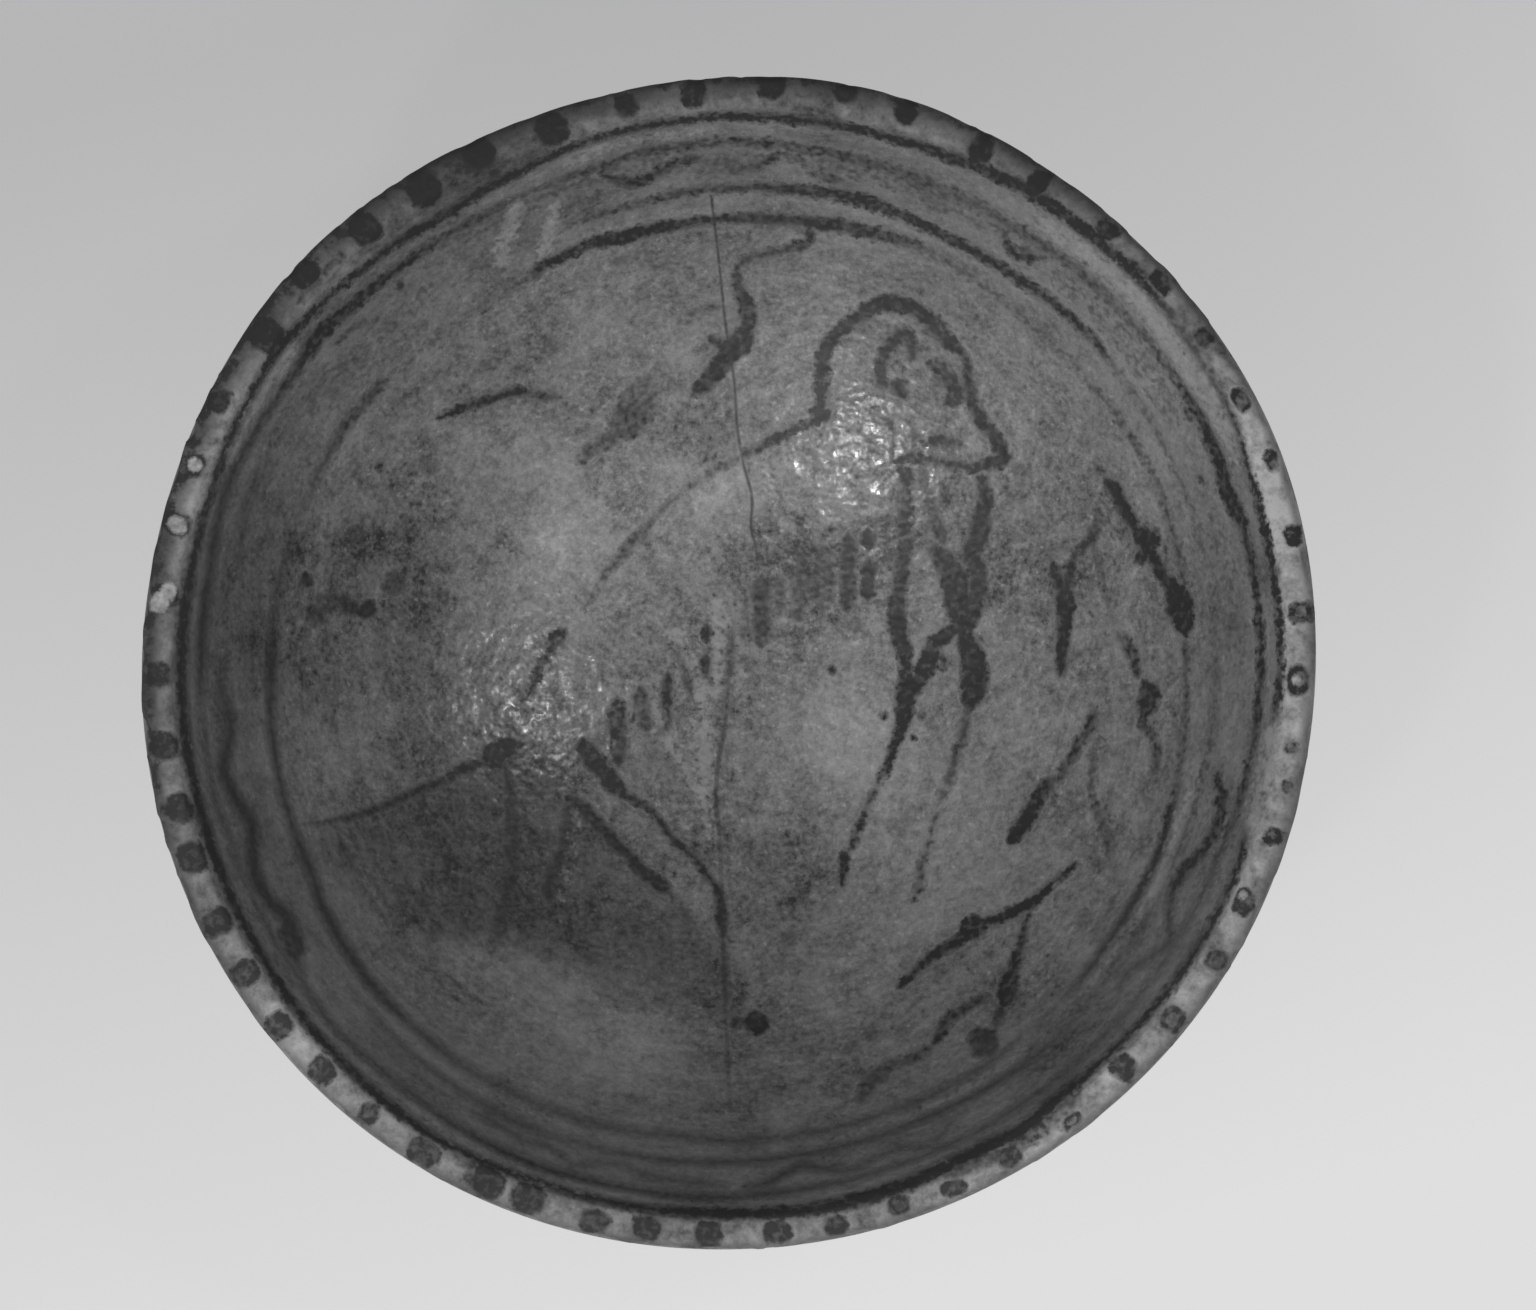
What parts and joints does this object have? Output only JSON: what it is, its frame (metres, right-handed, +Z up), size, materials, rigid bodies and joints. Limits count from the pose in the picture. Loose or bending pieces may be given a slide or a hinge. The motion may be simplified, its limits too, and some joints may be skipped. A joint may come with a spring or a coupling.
{
  "type": "bowl",
  "caption": "Round hand-formed glazed bowl, open at the top, with a flat dotted lip, painted rings and a painted animal inside, standing on a low ring foot.",
  "frame": {"origin": "on the table, under the middle of the bowl's outline", "axes": "+Z up, out of the bowl's mouth; +Y to the side that is at the top of the picture, +X to its right"},
  "size_m": [0.1798, 0.1802, 0.0583],
  "materials": {
    "glaze": "worn, finely pitted satin glaze over a pale body, in the greys of the black and white photograph, with dark brush-painted lines"
  },
  "bodies": {
    "root": {"bowl": "glaze"}
  },
  "joints": []
}
